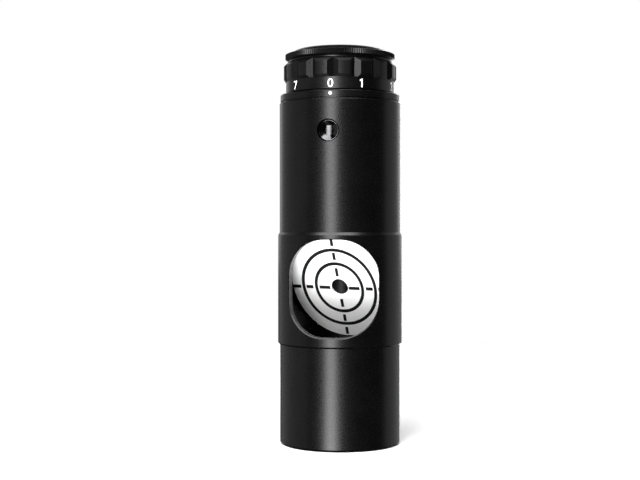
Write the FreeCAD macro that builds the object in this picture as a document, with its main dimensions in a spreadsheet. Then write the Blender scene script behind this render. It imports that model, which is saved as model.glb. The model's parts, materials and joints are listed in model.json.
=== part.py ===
"""Laser collimator for 1.25 inch focusers: a turned barrel with a side viewing window,
a tilting laser module above it, and a brightness dial with a battery cap at the top.

Millimetres, +Z up along the tube axis, origin at the centre of the barrel's bottom rim.
The viewing window and the dial's index mark face -Y.
"""
import FreeCAD, Part
import math
import os
import types

import Sketcher

DRIVING_SIZES = {
    # nosepiece barrel
    "barrel_radius": 15.875,
    "barrel_length": 26.3,
    "barrel_bore_radius": 13.6,
    "barrel_lead_in": 0.6,
    "edge_break": 0.25,
    # spigots of the window housing, screwed into the barrel and the tube
    "spigot_radius": 14.5,
    "spigot_length": 6.5,
    "fit_gap": 0.03,
    # window housing
    "housing_radius": 16.42,
    "housing_length": 29.6,
    "housing_bore_radius": 13.5,
    "housing_chamfer": 0.45,
    "housing_shoulder_height": 0.75,
    "window_width": 23.3,
    "window_height": 25.0,
    "window_corner_radius": 9.6,
    "window_centre_height": 41.5,
    "window_edge_break": 0.25,
    # slanted target
    "target_centre_height": 41.1,
    "target_radius": 12.65,
    "target_turn": -4.2,
    "target_slope": 1.08,
    "target_plate_thickness": 0.45,
    "target_block_top": 57.0,
    "beam_hole_radius": 2.23,
    "target_screw_radius": 1.5,
    "target_screw_length": 2.6,
    "target_screw_height": 51.0,
    # main tube
    "tube_radius": 16.0,
    "tube_length": 34.1,
    "tube_bore_radius": 13.2,
    "adjuster_height": 81.8,
    "adjuster_turn": -3.0,
    "adjuster_hole_radius": 2.9,
    "adjuster_radius": 2.84,
    "adjuster_length": 4.0,
    "adjuster_recess": 0.65,
    "adjuster_rim_round": 0.35,
    "adjuster_tip_chamfer": 0.3,
    "adjuster_socket": 2.5,
    "adjuster_socket_depth": 1.3,
    "adjuster_countersink": 0.75,
    "adjuster_floor_curve": 6.0,
    # tilting laser module
    "carrier_radius": 11.0,
    "carrier_bottom": 63.5,
    "carrier_length": 20.7,
    "pivot_height": 66.2,
    "pivot_groove_radius": 10.55,
    "pivot_groove_width": 2.9,
    "pivot_ring_radius": 11.88,
    "pivot_ring_section": 1.25,
    "module_radius": 6.0,
    "module_bottom": 64.3,
    "module_length": 17.0,
    "module_wall": 0.6,
    "module_lens_lip": 0.5,
    "module_edge_break": 0.2,
    "lens_barrel_radius": 4.5,
    "lens_barrel_length": 5.0,
    "lens_radius": 3.0,
    "lens_thickness": 1.9,
    "lens_inset": 0.5,
    "lens_seat": 0.6,
    "lens_curve_radius": 5.2,
    "lens_spring_inset": 0.6,
    "lens_spring_wire": 0.25,
    "lens_spring_room": 3.2,
    "lens_spring_end_gap": 0.3,
    "lens_spring_turns": 4,
    "diode_radius": 2.8,
    "diode_flange": 1.2,
    "diode_can_height": 2.3,
    "diode_can_step": 0.5,
    "diode_seat": 0.45,
    "diode_leg_radius": 0.22,
    "diode_leg_length": 1.7,
    "diode_leg_circle": 1.0,
    "retainer_length": 4.2,
    "retainer_recess": 0.2,
    "driver_board_radius": 5.3,
    "driver_gap": 1.6,
    "driver_leg_hole": 0.3,
    # switch stack under the dial
    "switch_base_bottom": 84.9,
    "switch_base_thickness": 1.7,
    "board_thickness": 0.8,
    "pad_ring_radius": 8.4,
    "pad_radius": 0.75,
    "pad_thickness": 0.1,
    "common_ring_outer": 5.6,
    "common_ring_inner": 4.4,
    "lead_radius": 0.45,
    "lead_spacing": 1.4,
    "lead_offset": 2.6,
    "lead_rise": 1.2,
    "lead_hole_gap": 0.9,
    "board_edge_gap": 0.2,
    "board_screw_radius": 0.5,
    "board_screw_offset": 11.2,
    "board_screw_rise": 0.4,
    "board_screw_head_radius": 1.0,
    "board_screw_head": 0.35,
    # index collar
    "collar_radius": 15.77,
    "collar_height": 2.1,
    "collar_spigot_radius": 14.2,
    "collar_spigot_length": 2.5,
    "collar_lip_radius": 11.48,
    "collar_lip_thickness": 1.5,
    "collar_inner_radius": 12.25,
    "collar_undercut": 0.35,
    # detent
    "detent_pitch_radius": 13.22,
    "detent_hole_radius": 0.72,
    "detent_ball_radius": 0.68,
    "detent_spring_length": 2.1,
    "detent_coil_length": 1.8,
    "detent_coil_radius": 0.45,
    "detent_wire": 0.1,
    "detent_coil_turns": 4,
    "detent_ball_gap": 0.06,
    "detent_rest_gap": 0.02,
    "dimple_depth": 0.25,
    # brightness dial
    "dial_positions": 8,
    "dial_gap": 0.2,
    "band_radius": 14.3,
    "band_height": 3.25,
    "grip_radius": 14.9,
    "grip_height": 5.1,
    "grip_chamfer": 0.43,
    "grip_chamfer_height": 0.65,
    "grip_shoulder": 1.05,
    "flute_count": 16,
    "flute_half_width": 1.6,
    "flute_depth": 0.92,
    "flute_turn": 0.9,
    "hub_radius": 11.4,
    "hub_length": 3.3,
    "hub_groove_radius": 10.9,
    "clip_radius": 12.1,
    "clip_thickness": 0.9,
    "clip_gap": 0.2,
    "thread_runout": 0.4,
    "battery_chamber_radius": 10.6,
    "battery_chamber_floor": 94.0,
    "cap_thread_radius": 12.08,
    # battery and its contacts
    "cell_radius": 10.0,
    "cell_thickness": 3.2,
    "cell_bottom": 95.4,
    "cell_rim_step": 0.5,
    "insulator_radius": 10.5,
    "insulator_hole_radius": 3.0,
    "insulator_wall": 0.35,
    "insulator_drop": 0.6,
    "wiper_width": 3.0,
    "wiper_length": 9.4,
    "wiper_thickness": 0.3,
    "wiper_finger_radius": 0.5,
    "wiper_inner_finger": 5.0,
    "wiper_pad_gap": 0.1,
    "negative_coil_radius": 2.2,
    "negative_wire": 0.12,
    "negative_turns": 2,
    "negative_base_gap": 0.05,
    "negative_cell_gap": 0.2,
    "contact_plate_radius": 6.5,
    "contact_plate_thickness": 0.3,
    "contact_button_radius": 2.5,
    "contact_cell_gap": 0.1,
    # battery cap
    "cap_gap": 0.15,
    "cap_neck_radius": 13.6,
    "cap_neck_height": 0.25,
    "cap_rim_radius": 14.48,
    "cap_rim_chamfer_height": 0.55,
    "cap_rim_height": 1.1,
    "cap_rim_step": 0.15,
    "cap_rim_step_width": 0.35,
    "cap_ceiling_gap": 1.0,
    "cap_skirt_radius": 12.0,
    "cap_skirt_bore_radius": 10.95,
    "cap_skirt_length": 3.0,
    "cap_dome_radius": 13.3,
    "cap_dome_flank_radius": 11.9,
    "cap_dome_flank_rise": 0.92,
    "cap_dome_flat_radius": 9.5,
    "cap_dome_fall": 0.3,
    "cap_crest_fall": 0.08,
    "cap_height": 104.4,
    "knurl_teeth": 150,
    "knurl_depth": 0.16,
    "coin_slot_length": 15.0,
    "coin_slot_width": 1.8,
    "coin_slot_depth": 1.4,
    "seal_section": 0.35,
    "seal_drop": 0.05,
}

ADJUSTER_NAMES = ("adjust_screw_front", "adjust_screw_right", "adjust_screw_left")
HALF = 0.5


class Size:
    """A length from the sheet: its present number and the expression that stays bound to it."""

    def __init__(self, value, text):
        self.value = float(value)
        self.text = text

    def __add__(self, other):
        other = as_size(other)
        return Size(self.value + other.value, f"({self.text} + {other.text})")

    def __sub__(self, other):
        other = as_size(other)
        return Size(self.value - other.value, f"({self.text} - {other.text})")

    def __mul__(self, factor):
        factor = as_size(factor)
        return Size(self.value * factor.value, f"({self.text} * {factor.text})")

    def __neg__(self):
        return Size(-self.value, f"(0 - {self.text})")


def as_size(number):
    return number if isinstance(number, Size) else Size(number, repr(number))


ZERO = as_size(0)

document = FreeCAD.newDocument("laser_collimator")
sheet = document.addObject("Spreadsheet::Sheet", "Sizes")
sub_parts = []


def fill_sheet():
    """Write every driving size to the sheet and return them as bound sizes."""
    for row, (alias, value) in enumerate(DRIVING_SIZES.items(), start=1):
        sheet.set(f"A{row}", alias)
        sheet.set(f"B{row}", str(value))
        sheet.setAlias(f"B{row}", alias)
    document.recompute()
    return types.SimpleNamespace(
        **{alias: Size(getattr(sheet, alias), f"Sizes.{alias}") for alias in DRIVING_SIZES}
    )


S = fill_sheet()

# heights of the main joints, from the bottom rim upward
housing_bottom = S.barrel_length
housing_top = housing_bottom + S.housing_length
tube_top = housing_top + S.tube_length
collar_top = tube_top + S.collar_height
dial_bottom = collar_top + S.dial_gap
grip_bottom = dial_bottom + S.band_height
grip_top = grip_bottom + S.grip_height
cap_bottom = grip_top + S.cap_gap
rim_chamfer_bottom = cap_bottom + S.cap_neck_height
rim_bottom = rim_chamfer_bottom + S.cap_rim_chamfer_height
rim_top = rim_bottom + S.cap_rim_height
board_bottom = S.switch_base_bottom + S.switch_base_thickness
board_top = board_bottom + S.board_thickness
hub_bottom = dial_bottom - S.hub_length
lip_bottom = collar_top - S.collar_lip_thickness
cell_top = S.cell_bottom + S.cell_thickness
ceiling = cell_top + S.cap_ceiling_gap


# ---------------------------------------------------------------- modelling helpers

def new_body(label):
    body = document.addObject("PartDesign::Body", label)
    body.Label = label
    sub_parts.append(body)
    return body


def origin_feature(body, role):
    return next(feature for feature in body.Origin.OriginFeatures if feature.Role == role)


def new_sketch(body, role, name, lift=None):
    """A sketch on one of the body's own origin planes, lifted off it by a bound height."""
    sketch = body.newObject("Sketcher::SketchObject", f"{body.Name}_{name}")
    sketch.AttachmentSupport = [(origin_feature(body, role), "")]
    sketch.MapMode = "FlatFace"
    if lift is not None:
        sketch.setExpression("AttachmentOffset.Base.z", lift.text)
    return sketch


def pin_point(sketch, geometry, vertex, across, up):
    """Hold a point at its bound distances from the sketch's origin."""
    for kind, axis, size in (("DistanceX", -2, across), ("DistanceY", -1, up)):
        size = as_size(size)
        if size.value == 0:
            sketch.addConstraint(Sketcher.Constraint("PointOnObject", geometry, vertex, axis))
            continue
        constraint = Sketcher.Constraint(kind, -1, 1, geometry, vertex, size.value)
        index = sketch.addConstraint(constraint)
        sketch.setExpression(f"Constraints[{index}]", size.text)


def draw_outline(sketch, corners):
    """A closed outline of straight edges through (across, up) corners."""
    corners = [(as_size(across), as_size(up)) for across, up in corners]
    points = [FreeCAD.Vector(across.value, up.value, 0) for across, up in corners]
    first = sketch.GeometryCount
    count = len(points)
    for index, point in enumerate(points):
        sketch.addGeometry(Part.LineSegment(point, points[(index + 1) % count]))
    for index in range(count):
        following = first + (index + 1) % count
        sketch.addConstraint(Sketcher.Constraint("Coincident", first + index, 2, following, 1))
    for index, (across, up) in enumerate(corners):
        pin_point(sketch, first + index, 1, across, up)


def draw_circle(sketch, across, up, radius):
    across, up = as_size(across), as_size(up)
    centre = FreeCAD.Vector(across.value, up.value, 0)
    circle = sketch.addGeometry(Part.Circle(centre, FreeCAD.Vector(0, 0, 1), radius.value))
    pin_point(sketch, circle, 3, across, up)
    index = sketch.addConstraint(Sketcher.Constraint("Radius", circle, radius.value))
    sketch.setExpression(f"Constraints[{index}]", radius.text)


def turn(body, outline):
    """Add a turned solid: a closed (radius, height) outline spun about the tube axis."""
    sketch = new_sketch(body, "XZ_Plane", "section")
    draw_outline(sketch, outline)
    spun = body.newObject("PartDesign::Revolution", f"{body.Name}_turned")
    spun.Profile = sketch
    spun.ReferenceAxis = (sketch, ["V_Axis"])
    spun.Angle = 360
    return spun


def turned(label, outline):
    body = new_body(label)
    turn(body, outline)
    return body


def ring(label, inner, outer, bottom, top):
    """A plain turned ring, or a disc when the inner radius is zero."""
    return turned(label, [(inner, bottom), (outer, bottom), (outer, top), (inner, top)])


def swing(body, angle):
    """Turn a whole sub-part about the tube axis by a bound angle in degrees."""
    body.Placement.Rotation = FreeCAD.Rotation(FreeCAD.Vector(0, 0, 1), angle.value)
    body.setExpression("Placement.Rotation.Angle", angle.text)


def pad(body, sketch, name, length):
    feature = body.newObject("PartDesign::Pad", f"{body.Name}_{name}")
    feature.Profile = sketch
    feature.setExpression("Length", as_size(length).text)
    return feature


def pocket(body, sketch, name, length, reverse=False, both_ways=False):
    """Cut a sketch out of the body, and make sure that it removed material."""
    document.recompute()
    before = body.Shape.Volume
    feature = body.newObject("PartDesign::Pocket", f"{body.Name}_{name}")
    feature.Profile = sketch
    feature.Reversed = reverse
    if both_ways:
        feature.Midplane = True
    feature.setExpression("Length", as_size(length).text)
    document.recompute()
    if body.Shape.Volume >= before - 1e-6:
        raise RuntimeError(f"{feature.Name} cuts nothing")
    return feature


def repeat_around(body, feature, name, count):
    """Repeat a cut evenly round the tube axis."""
    pattern = body.newObject("PartDesign::PolarPattern", f"{body.Name}_{name}")
    pattern.Originals = [feature]
    pattern.Axis = (origin_feature(body, "Z_Axis"), [""])
    pattern.Angle = 360
    pattern.setExpression("Occurrences", as_size(count).text)
    body.Tip = pattern
    document.recompute()
    return pattern


def primitive(kind, name, sizes, position=(0, 0, 0), turn_about=None):
    """A Part primitive with its sizes and its position bound to the sheet."""
    solid = document.addObject(f"Part::{kind}", name)
    for attribute, size in sizes.items():
        solid.setExpression(attribute, as_size(size).text)
    if turn_about is not None:
        axis, angle = turn_about
        solid.Placement.Rotation = FreeCAD.Rotation(FreeCAD.Vector(*axis), angle)
    for axis_name, size in zip("xyz", position):
        if isinstance(size, Size):
            solid.setExpression(f"Placement.Base.{axis_name}", size.text)
    return solid


def joined(kind, label, base, tool):
    """A Part boolean (Cut or Common) of two solids, kept as a sub-part."""
    result = document.addObject(f"Part::{kind}", label)
    result.Label = label
    result.Base = base
    result.Tool = tool
    sub_parts.append(result)
    return result


def shaped(label, shape):
    """A sub-part whose shape is worked out here from the sheet's sizes."""
    feature = document.addObject("Part::Feature", label)
    feature.Label = label
    feature.Shape = shape
    feature.Placement = FreeCAD.Placement()
    sub_parts.append(feature)
    return feature


def disc_solid(radius, bottom, height, across=0.0, along=0.0):
    """An upright cylinder, in numbers, for the shapes that a sketch doesn't suit."""
    return Part.makeCylinder(radius, height, FreeCAD.Vector(across, along, bottom))


# ---------------------------------------------------------------- barrel, housing and tube

def make_nosepiece_barrel():
    socket_radius = S.spigot_radius + S.fit_gap
    socket_bottom = housing_bottom - S.spigot_length - S.edge_break
    turned("nosepiece_barrel", [
        (S.barrel_bore_radius + S.edge_break, 0),
        (S.barrel_radius - S.barrel_lead_in, 0),
        (S.barrel_radius, S.barrel_lead_in),
        (S.barrel_radius, housing_bottom),
        (socket_radius, housing_bottom),
        (socket_radius, socket_bottom),
        (S.barrel_bore_radius, socket_bottom),
        (S.barrel_bore_radius, S.edge_break),
    ])


def make_window_housing():
    shoulder_radius = S.housing_radius - S.housing_chamfer
    body = turned("window_housing", [
        (S.housing_bore_radius, housing_bottom - S.spigot_length),
        (S.spigot_radius, housing_bottom - S.spigot_length),
        (S.spigot_radius, housing_bottom),
        (shoulder_radius, housing_bottom),
        (S.housing_radius, housing_bottom + S.housing_chamfer),
        (S.housing_radius, housing_top - S.housing_shoulder_height),
        (shoulder_radius, housing_top),
        (S.spigot_radius, housing_top),
        (S.spigot_radius, housing_top + S.spigot_length),
        (S.housing_bore_radius, housing_top + S.spigot_length),
    ])
    window = new_sketch(body, "XZ_Plane", "window")
    draw_rounded_window(window)
    pocket(body, window, "window_cut", S.housing_radius + 1, reverse=True)
    screw_hole = new_sketch(body, "XZ_Plane", "target_screw")
    draw_circle(screw_hole, 0, S.target_screw_height, S.target_screw_radius + S.fit_gap)
    pocket(body, screw_hole, "target_screw_hole", S.housing_radius + 1)
    break_window_edge(body)


def draw_rounded_window(sketch):
    """The viewing window's outline: a tall rectangle with arcs at its corners."""
    half_width = S.window_width * HALF
    half_height = S.window_height * HALF
    corner = S.window_corner_radius
    centre = S.window_centre_height
    signs = ((1, 1), (-1, 1), (-1, -1), (1, -1))
    arcs = []
    for quarter, (side, rise) in enumerate(signs):
        across = (half_width - corner) * side
        up = centre + (half_height - corner) * rise
        middle = FreeCAD.Vector(across.value, up.value, 0)
        circle = Part.Circle(middle, FreeCAD.Vector(0, 0, 1), corner.value)
        start = quarter * math.pi / 2
        arc = sketch.addGeometry(Part.ArcOfCircle(circle, start, start + math.pi / 2))
        pin_point(sketch, arc, 3, across, up)
        arcs.append(arc)
    for arc, following in zip(arcs, arcs[1:] + arcs[:1]):
        ends = (sketch.getPoint(arc, 2), sketch.getPoint(following, 1))
        side = sketch.addGeometry(Part.LineSegment(*ends))
        sketch.addConstraint(Sketcher.Constraint("Tangent", arc, 2, side, 1))
        sketch.addConstraint(Sketcher.Constraint("Tangent", side, 2, following, 1))
    radius = sketch.addConstraint(Sketcher.Constraint("Radius", arcs[0], corner.value))
    sketch.setExpression(f"Constraints[{radius}]", corner.text)


def break_window_edge(body):
    """A fine chamfer where the window meets the housing's outer face."""
    document.recompute()
    last_cut = body.Tip
    outer = S.housing_radius.value
    half_width = S.window_width.value * HALF
    low = S.window_centre_height.value - S.window_height.value * HALF - 0.1
    high = S.window_centre_height.value + S.window_height.value * HALF + 0.1
    names = []
    for number, edge in enumerate(body.Shape.Edges, start=1):
        middle = edge.valueAt((edge.FirstParameter + edge.LastParameter) / 2)
        on_outer = abs(math.hypot(middle.x, middle.y) - outer) < 0.01
        in_window = abs(middle.x) < half_width + 0.1 and low < middle.z < high and middle.y < 0
        if on_outer and in_window:
            names.append(f"Edge{number}")
    chamfer = body.newObject("PartDesign::Chamfer", f"{body.Name}_window_edge")
    chamfer.Base = (last_cut, names)
    chamfer.setExpression("Size", S.window_edge_break.text)
    body.Tip = chamfer


def make_main_tube():
    socket_radius = S.spigot_radius + S.fit_gap
    socket_top = housing_top + S.spigot_length + S.edge_break
    top_socket_radius = S.collar_spigot_radius + S.fit_gap
    top_socket_bottom = tube_top - S.collar_spigot_length - S.edge_break
    seat_radius = S.tube_bore_radius - 0.6
    body = turned("main_tube", [
        (socket_radius, housing_top),
        (S.tube_radius, housing_top),
        (S.tube_radius, tube_top - S.edge_break),
        (S.tube_radius - S.edge_break, tube_top),
        (top_socket_radius, tube_top),
        (top_socket_radius, top_socket_bottom),
        (S.tube_bore_radius, top_socket_bottom),
        (S.tube_bore_radius, S.switch_base_bottom),
        (seat_radius, S.switch_base_bottom),
        (seat_radius, S.switch_base_bottom - S.fit_gap - 0.5),
        (S.tube_bore_radius, S.switch_base_bottom - S.fit_gap - 1.1),
        (S.tube_bore_radius, socket_top),
        (socket_radius, socket_top),
    ])
    hole = new_sketch(body, "XZ_Plane", "adjuster")
    draw_circle(hole, 0, S.adjuster_height, S.adjuster_hole_radius)
    cut = pocket(body, hole, "adjuster_hole", S.tube_radius + 1, reverse=True)
    repeat_around(body, cut, "adjuster_holes", len(ADJUSTER_NAMES))
    swing(body, S.adjuster_turn)


# ---------------------------------------------------------------- slanted target

def target_slice(label, radius, bottom_lift, top_lift, base, height):
    """A round bar with the beam hole, cut to the space between slanted planes."""
    body = new_body(label)
    section = new_sketch(body, "XY_Plane", "section", lift=base)
    draw_circle(section, 0, 0, radius)
    draw_circle(section, 0, 0, S.beam_hole_radius)
    pad(body, section, "bar", height)
    reach = S.housing_bore_radius + 1
    rise = reach * S.target_slope
    below = new_sketch(body, "YZ_Plane", "below")
    level = S.target_centre_height + bottom_lift
    draw_outline(below, [
        (-reach, level + rise),
        (-reach, level - rise - rise),
        (reach, level - rise - rise),
        (reach, level - rise),
    ])
    pocket(body, below, "below_cut", reach * 2, both_ways=True)
    if top_lift is not None:
        above = new_sketch(body, "YZ_Plane", "above")
        level = S.target_centre_height + top_lift
        draw_outline(above, [
            (-reach, level + rise),
            (reach, level - rise),
            (reach, level + rise + rise),
            (-reach, level + rise + rise),
        ])
        pocket(body, above, "above_cut", reach * 2, both_ways=True)
    return body


def make_target():
    plate_lift = S.target_plate_thickness * math.hypot(1, S.target_slope.value)
    base = S.target_centre_height - S.housing_bore_radius * S.target_slope - 2
    block_radius = S.housing_bore_radius - S.fit_gap
    plate = target_slice("target_plate", S.target_radius, ZERO, plate_lift, base,
                         S.target_block_top - base)
    swing(plate, S.target_turn)
    block = target_slice("target_block", block_radius, plate_lift, None, base,
                         S.target_block_top - base)
    swing(block, S.target_turn)
    screw = new_body("target_grub_screw")
    section = new_sketch(screw, "XZ_Plane", "section", lift=-S.housing_bore_radius)
    draw_circle(section, 0, S.target_screw_height, S.target_screw_radius)
    shank = pad(screw, section, "shank", S.target_screw_length)
    shank.Reversed = True


# ---------------------------------------------------------------- tilting laser module

def make_pivot_ring():
    ring_solid = primitive("Torus", "pivot_o_ring", {
        "Radius1": S.pivot_ring_radius,
        "Radius2": S.pivot_ring_section,
    }, position=(0, 0, S.pivot_height))
    ring_solid.Label = "pivot_o_ring"
    sub_parts.append(ring_solid)


def make_carrier():
    bore_radius = S.module_radius + S.fit_gap
    top = S.carrier_bottom + S.carrier_length
    groove_low = S.pivot_height - S.pivot_groove_width * HALF
    groove_high = S.pivot_height + S.pivot_groove_width * HALF
    turned("module_carrier", [
        (S.lens_radius, S.carrier_bottom),
        (S.carrier_radius - S.edge_break, S.carrier_bottom),
        (S.carrier_radius, S.carrier_bottom + S.edge_break),
        (S.carrier_radius, groove_low),
        (S.pivot_groove_radius, groove_low),
        (S.pivot_groove_radius, groove_high),
        (S.carrier_radius, groove_high),
        (S.carrier_radius, top - S.edge_break),
        (S.carrier_radius - S.edge_break, top),
        (bore_radius, top),
        (bore_radius, S.module_bottom - S.fit_gap),
        (S.lens_radius, S.module_bottom - S.fit_gap),
    ])


# heights along the laser module, from its lens end upward
lens_barrel_bottom = S.module_bottom + S.module_lens_lip
lens_bottom = lens_barrel_bottom + S.lens_inset
lens_barrel_top = lens_barrel_bottom + S.lens_barrel_length
spring_top = lens_barrel_top + S.lens_spring_room
diode_base_top = spring_top + S.retainer_length
driver_bottom = diode_base_top + S.driver_gap


def make_module_shell():
    top = S.module_bottom + S.module_length
    bore = S.lens_barrel_radius + S.fit_gap
    mouth = S.lens_radius + S.lens_seat * HALF
    inner = S.module_radius - S.module_wall
    ledge = driver_bottom - S.module_wall * HALF
    turned("laser_module_shell", [
        (mouth, S.module_bottom),
        (S.module_radius - S.module_edge_break, S.module_bottom),
        (S.module_radius, S.module_bottom + S.module_edge_break),
        (S.module_radius, top),
        (inner, top),
        (inner, ledge),
        (bore, ledge),
        (bore, lens_barrel_bottom - S.fit_gap),
        (mouth, lens_barrel_bottom - S.fit_gap),
    ])


def make_lens():
    """The lens in its threaded barrel, with the ring that holds it."""
    bore = S.lens_radius + S.fit_gap
    seat = S.lens_radius - S.lens_seat
    lens_top = lens_bottom + S.lens_thickness
    turned("lens_barrel", [
        (bore, lens_barrel_bottom),
        (S.lens_barrel_radius, lens_barrel_bottom),
        (S.lens_barrel_radius, lens_barrel_top),
        (seat, lens_barrel_top),
        (seat, lens_top + S.fit_gap),
        (bore, lens_top + S.fit_gap),
    ])
    ring("lens_retaining_ring", seat, bore - S.fit_gap, lens_barrel_bottom, lens_bottom - S.fit_gap)
    blank = primitive("Cylinder", "lens_blank", {
        "Radius": S.lens_radius,
        "Height": lens_top - lens_bottom,
    }, position=(0, 0, lens_bottom))
    curve = primitive("Sphere", "lens_curve", {
        "Radius": S.lens_curve_radius,
    }, position=(0, 0, lens_bottom + S.lens_curve_radius))
    joined("Common", "collimating_lens", blank, curve)


def coil(radius, wire, bottom, top, turns):
    """A compression spring: a round wire swept along quarter turns of a helix."""
    quarters = int(turns) * 4
    rise = (top - bottom - 2 * wire) / quarters
    path = []
    for number in range(quarters):
        quarter = Part.makeHelix(rise * 4, rise, radius)
        quarter.rotate(FreeCAD.Vector(), FreeCAD.Vector(0, 0, 1), 90 * number)
        quarter.translate(FreeCAD.Vector(0, 0, bottom + wire + rise * number))
        path.append(quarter.Edges[0])
    start = path[0].valueAt(path[0].FirstParameter)
    direction = path[0].tangentAt(path[0].FirstParameter)
    section = Part.Wire(Part.makeCircle(wire, start, direction))
    return Part.Wire(path).makePipeShell([section], True, True)


def make_lens_spring():
    radius = S.lens_barrel_radius.value - S.lens_spring_inset.value
    end_gap = S.lens_spring_end_gap.value
    shaped("lens_spring", coil(radius, S.lens_spring_wire.value, lens_barrel_top.value + end_gap,
                               spring_top.value - end_gap, S.lens_spring_turns.value))


def make_diode():
    """A laser diode can on its flange, window down, with three legs."""
    flange_top = diode_base_top.value - S.retainer_recess.value
    flange_bottom = flange_top - S.diode_flange.value
    can_height = S.diode_can_height.value
    can = disc_solid(S.diode_radius.value, flange_bottom, S.diode_flange.value)
    can = can.fuse(disc_solid(S.diode_radius.value - S.diode_can_step.value,
                              flange_bottom - can_height, can_height))
    for across, along in three_points(S.diode_leg_circle.value):
        can = can.fuse(disc_solid(S.diode_leg_radius.value, flange_top,
                                  S.diode_leg_length.value, across, along))
    shaped("laser_diode", can)
    seat = S.diode_radius - S.diode_seat
    pocket_radius = S.diode_radius + S.fit_gap
    pocket_bottom = diode_base_top - S.retainer_recess - S.diode_flange - S.fit_gap
    turned("diode_retainer", [
        (seat, spring_top),
        (S.lens_barrel_radius, spring_top),
        (S.lens_barrel_radius, diode_base_top),
        (pocket_radius, diode_base_top),
        (pocket_radius, pocket_bottom),
        (seat, pocket_bottom),
    ])


def three_points(reach):
    """Three points at 120 degrees round the axis, the first towards the back."""
    angles = [math.radians(90 + 120 * number) for number in range(3)]
    return [(reach * math.cos(angle), reach * math.sin(angle)) for angle in angles]


BOARD_CHIPS = (
    # width, depth, height, left edge, front edge
    (3.0, 2.4, 1.1, -1.5, -3.8),
    (1.6, 0.9, 0.8, -3.6, 1.6),
    (1.2, 0.6, 0.4, 2.4, 1.8),
)


def make_driver():
    """The driver board with its chip, capacitor and resistor, and the two supply leads."""
    bottom = driver_bottom.value
    thickness = S.board_thickness.value
    board = disc_solid(S.driver_board_radius.value, bottom, thickness)
    for across, along in three_points(S.diode_leg_circle.value):
        board = board.cut(disc_solid(S.driver_leg_hole.value, bottom, thickness, across, along))
    shaped("driver_board", board)
    top = bottom + thickness
    chips = [
        Part.makeBox(width, depth, height, FreeCAD.Vector(left, front, top))
        for width, depth, height, left, front in BOARD_CHIPS
    ]
    shaped("driver_components", Part.makeCompound(chips))
    lead_length = S.switch_base_bottom.value + S.lead_rise.value - top
    leads = [
        disc_solid(S.lead_radius.value, top, lead_length, side * S.lead_spacing.value,
                   S.lead_offset.value)
        for side in (-1, 1)
    ]
    shaped("power_leads", Part.makeCompound(leads))


def adjuster_solid():
    """One grub screw, tip down at the origin: rounded rim, countersunk end, hexagon socket."""
    length = S.adjuster_length.value
    radius = S.adjuster_radius.value
    rim_round = S.adjuster_rim_round.value
    screw = Part.makeCylinder(radius, length)
    rim = [edge for edge in screw.Edges if abs(edge.BoundBox.ZMin - length) < 1e-6]
    tip = [edge for edge in screw.Edges if edge.BoundBox.ZMax < 1e-6]
    screw = screw.makeFillet(rim_round, rim[:1])
    screw = screw.makeChamfer(S.adjuster_tip_chamfer.value, tip[:1])
    sink = S.adjuster_countersink.value
    mouth = radius - rim_round
    cone_depth = sink * mouth / (mouth - S.adjuster_socket.value / 2)
    cone = Part.makeCone(0, mouth, cone_depth, FreeCAD.Vector(0, 0, length - cone_depth))
    screw = screw.cut(cone)
    corner = S.adjuster_socket.value / math.sqrt(3)
    hexagon = [
        FreeCAD.Vector(corner * math.cos(math.radians(60 * step)),
                       corner * math.sin(math.radians(60 * step)), length)
        for step in range(7)
    ]
    depth = sink + S.adjuster_socket_depth.value
    socket = Part.Face(Part.makePolygon(hexagon)).extrude(FreeCAD.Vector(0, 0, -depth))
    curve = S.adjuster_floor_curve.value
    dished = Part.makeSphere(curve, FreeCAD.Vector(0, 0, length - depth + curve))
    return screw.cut(socket.common(dished))


def make_adjusters():
    """Three grub screws at 120 degrees, laid down so that their sockets face outward."""
    outer = S.tube_radius.value - S.adjuster_recess.value
    inner = FreeCAD.Vector(0, -(outer - S.adjuster_length.value), S.adjuster_height.value)
    lay_down = FreeCAD.Rotation(FreeCAD.Vector(1, 0, 0), 90)
    for number, name in enumerate(ADJUSTER_NAMES):
        feature = shaped(name, adjuster_solid())
        angle = S.adjuster_turn.value + 360 / len(ADJUSTER_NAMES) * number
        round_tube = FreeCAD.Rotation(FreeCAD.Vector(0, 0, 1), angle)
        feature.Placement = FreeCAD.Placement(
            round_tube.multVec(inner), round_tube.multiply(lay_down))


# ---------------------------------------------------------------- switch stack and collar

def make_switch_stack():
    """The insulating base and switch board in the top of the tube."""
    radius = S.tube_bore_radius - S.fit_gap
    lead_hole = S.lead_radius + S.lead_hole_gap
    base = new_body("switch_base")
    section = new_sketch(base, "XY_Plane", "section", lift=S.switch_base_bottom)
    draw_circle(section, 0, 0, radius)
    draw_circle(section, -S.lead_spacing, S.lead_offset, lead_hole)
    for side in (-1, 1):
        draw_circle(section, S.board_screw_offset * side, 0, S.board_screw_radius)
    pad(base, section, "plate", S.switch_base_thickness)
    relief = new_sketch(base, "XY_Plane", "lead_relief", lift=board_bottom)
    draw_circle(relief, S.lead_spacing, S.lead_offset, lead_hole)
    pocket(base, relief, "lead_relief_cut", S.switch_base_thickness)
    board = new_body("switch_board")
    section = new_sketch(board, "XY_Plane", "section", lift=board_bottom)
    draw_circle(section, 0, 0, radius - S.board_edge_gap)
    for side in (-1, 1):
        draw_circle(section, S.board_screw_offset * side, 0, S.board_screw_radius)
    pad(board, section, "plate", S.board_thickness)


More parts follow.
